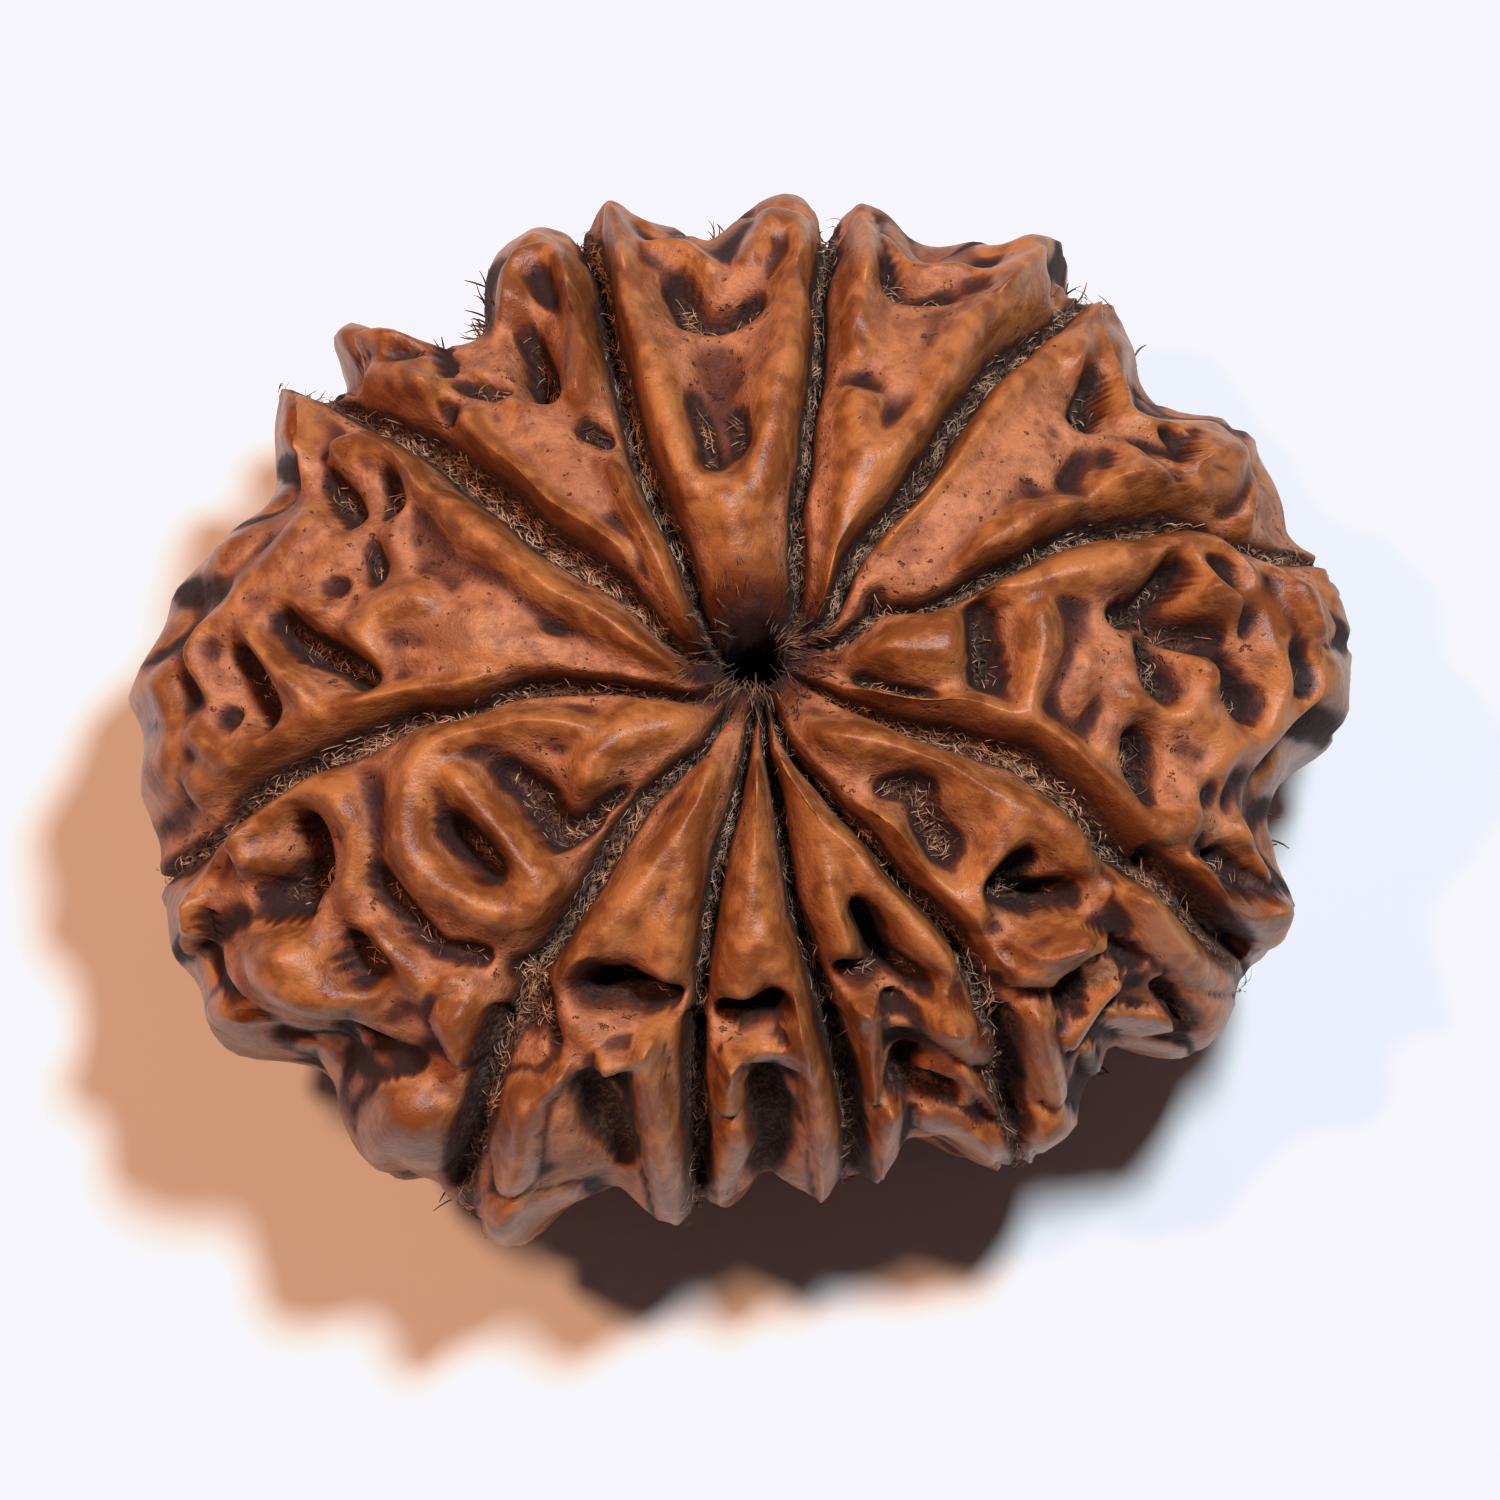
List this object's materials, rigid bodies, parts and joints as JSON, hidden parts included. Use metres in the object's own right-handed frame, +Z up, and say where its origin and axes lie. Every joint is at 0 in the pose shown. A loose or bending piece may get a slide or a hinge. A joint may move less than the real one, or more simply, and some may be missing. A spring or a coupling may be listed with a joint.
{
  "type": "rudraksha bead",
  "caption": "Oval, deeply ridged dried fruit stone with grooved faces meeting at a thread hole bored through its short axis.",
  "frame": {"origin": "middle of the bead's outline, on the table, under the worn ridge tops that it rests on", "axes": "+Z up along the thread hole, which is 0.2 mm to the right of the origin, +X along the longest width, towards the right of the picture, +Y to the picture's top"},
  "size_m": [0.027, 0.0234, 0.0156],
  "materials": {
    "fruit_stone": "satin"
  },
  "bodies": {
    "root": {"rudraksha_bead": "fruit_stone"}
  },
  "joints": []
}
